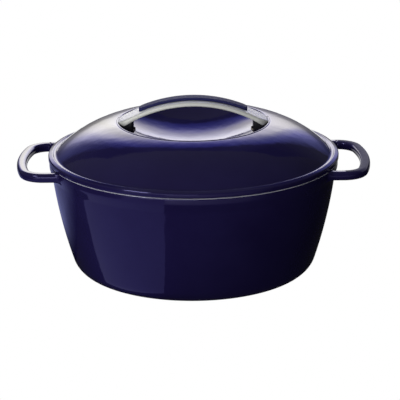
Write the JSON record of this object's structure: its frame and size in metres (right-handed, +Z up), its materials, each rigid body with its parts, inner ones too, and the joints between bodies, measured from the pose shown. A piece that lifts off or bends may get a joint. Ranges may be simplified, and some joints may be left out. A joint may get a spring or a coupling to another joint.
{
  "type": "dutch oven",
  "caption": "Round enamelled cast iron dutch oven with a domed lift-off lid, an arched metal lid handle with a soft grip pad, and flat loop side handles.",
  "frame": {"origin": "centre of the pot's underside, in the plane it stands on", "axes": "+Z up, +X through the right-hand side handle, +Y to the back"},
  "size_m": [0.35, 0.2876, 0.1753],
  "materials": {
    "pot_body": "glossy enamel",
    "lid": "glossy enamel",
    "lid_handle": "satin",
    "grip_pad": "matt silicone",
    "foot_left": "matt",
    "foot_right": "matt",
    "screw_left": "bright",
    "screw_right": "bright",
    "washer_left": "bright",
    "washer_right": "bright"
  },
  "bodies": {
    "pot": {"pot_body": "pot_body"},
    "lid": {"lid": "lid", "lid_handle": "lid_handle", "grip_pad": "grip_pad", "foot_left": "foot_left", "foot_right": "foot_right", "screw_left": "screw_left", "screw_right": "screw_right", "washer_left": "washer_left", "washer_right": "washer_right"}
  },
  "joints": [
    {"name": "lid_lift", "type": "slide", "parent": "pot", "child": "lid", "axis": [0, 0, 1], "range_m": [0, 0.25]}
  ]
}
